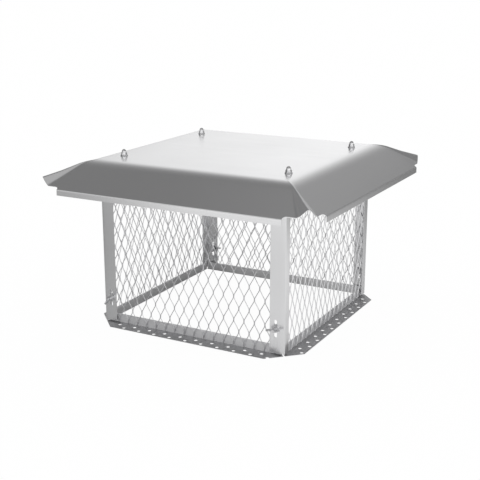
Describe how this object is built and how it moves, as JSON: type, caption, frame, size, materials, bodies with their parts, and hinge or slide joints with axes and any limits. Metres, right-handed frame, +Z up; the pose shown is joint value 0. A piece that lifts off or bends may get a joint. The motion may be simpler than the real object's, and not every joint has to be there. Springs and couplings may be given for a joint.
{
  "type": "chimney cap",
  "caption": "Square stainless chimney cap: folded lid with pinched corners on bent posts, around an expanded metal cage on perforated base angles.",
  "frame": {"origin": "on the ground under the middle of the cage, at the bottom of the base angles", "axes": "+Z up through the lid, X along the front base angle, Y from the front wall to the back wall"},
  "size_m": [0.6296, 0.6296, 0.3712],
  "materials": {
    "stainless_sheet": "mill finish stainless sheet, soft and slightly wavy",
    "expanded_stainless": "raised expanded stainless, matte cut edges",
    "fastener_steel": "plain stainless fasteners",
    "polished_steel": "bright domed cap nuts"
  },
  "bodies": {
    "root": {"lid": "stainless_sheet", "post_front_left": "stainless_sheet", "post_front_right": "stainless_sheet", "post_back_right": "stainless_sheet", "post_back_left": "stainless_sheet", "base_angle_front": "stainless_sheet", "base_angle_right": "stainless_sheet", "base_angle_back": "stainless_sheet", "base_angle_left": "stainless_sheet", "mesh_front": "expanded_stainless", "mesh_right": "expanded_stainless", "mesh_back": "expanded_stainless", "mesh_left": "expanded_stainless", "lid_bolt_front_left": "fastener_steel", "lid_bolt_front_right": "fastener_steel", "lid_bolt_back_right": "fastener_steel", "lid_bolt_back_left": "fastener_steel", "lid_washer_front_left": "fastener_steel", "lid_washer_front_right": "fastener_steel", "lid_washer_back_right": "fastener_steel", "lid_washer_back_left": "fastener_steel", "cap_nut_front_left": "polished_steel", "cap_nut_front_right": "polished_steel", "cap_nut_back_right": "polished_steel", "cap_nut_back_left": "polished_steel", "leg_bolt_front_left": "fastener_steel", "leg_bolt_front_right": "fastener_steel", "leg_bolt_back_right": "fastener_steel", "leg_bolt_back_left": "fastener_steel", "mesh_washer_front_left": "fastener_steel", "mesh_washer_front_right": "fastener_steel", "mesh_washer_back_right": "fastener_steel", "mesh_washer_back_left": "fastener_steel", "leg_washer_front_left": "fastener_steel", "leg_washer_front_right": "fastener_steel", "leg_washer_back_right": "fastener_steel", "leg_washer_back_left": "fastener_steel", "wing_nut_front_left": "fastener_steel", "wing_nut_front_right": "fastener_steel", "wing_nut_back_right": "fastener_steel", "wing_nut_back_left": "fastener_steel"}
  },
  "joints": []
}
